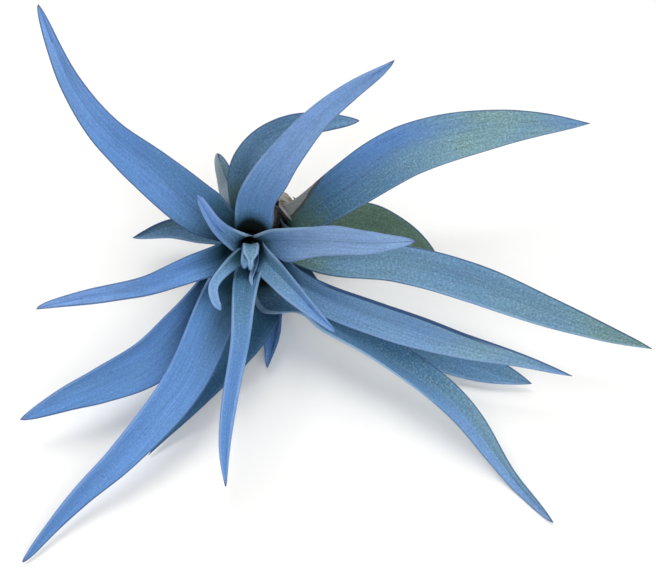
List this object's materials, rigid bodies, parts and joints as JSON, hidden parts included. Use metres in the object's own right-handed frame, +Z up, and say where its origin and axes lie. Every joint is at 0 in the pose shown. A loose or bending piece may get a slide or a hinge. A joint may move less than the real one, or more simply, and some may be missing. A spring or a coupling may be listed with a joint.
{
  "type": "tillandsia capitata",
  "caption": "Air plant lying on a surface: an open rosette of long channelled blue-green leaves that wrap a short woody stem, with no pot and no roots.",
  "frame": {"origin": "on the surface the plant lies on, under the middle of its box", "axes": "+Z up; +X to the right in the front view; the open rosette looks forward, towards -Y, up and a little to the left"},
  "size_m": [0.1823, 0.1553, 0.085],
  "materials": {
    "young_leaf": "matte, finely veined",
    "leaf": "matte with a silvery scaly bloom and pale margins",
    "outer_leaf": "matte, dull green-grey",
    "dry_sheath": "dry, fuzzy, papery",
    "stem": "dry, fibrous"
  },
  "bodies": {
    "root": {"dry_sheath": "dry_sheath", "heart_leaf": "young_leaf", "heart_lobe": "young_leaf", "heart_tip": "young_leaf", "leaf_down": "leaf", "leaf_down_left": "leaf", "leaf_down_under": "leaf", "leaf_inner_low_left": "young_leaf", "leaf_inner_low_right": "young_leaf", "leaf_inner_up_left": "young_leaf", "leaf_left": "leaf", "leaf_left_back": "outer_leaf", "leaf_left_low": "leaf", "leaf_low_right": "leaf", "leaf_right_back": "outer_leaf", "leaf_right_high": "leaf", "leaf_right_inner": "young_leaf", "leaf_right_long": "leaf", "leaf_right_low": "leaf", "leaf_right_under": "leaf", "leaf_stub": "outer_leaf", "leaf_under_small": "outer_leaf", "leaf_up": "leaf", "leaf_up_back": "outer_leaf", "leaf_up_left": "leaf", "stem": "stem"}
  },
  "joints": []
}
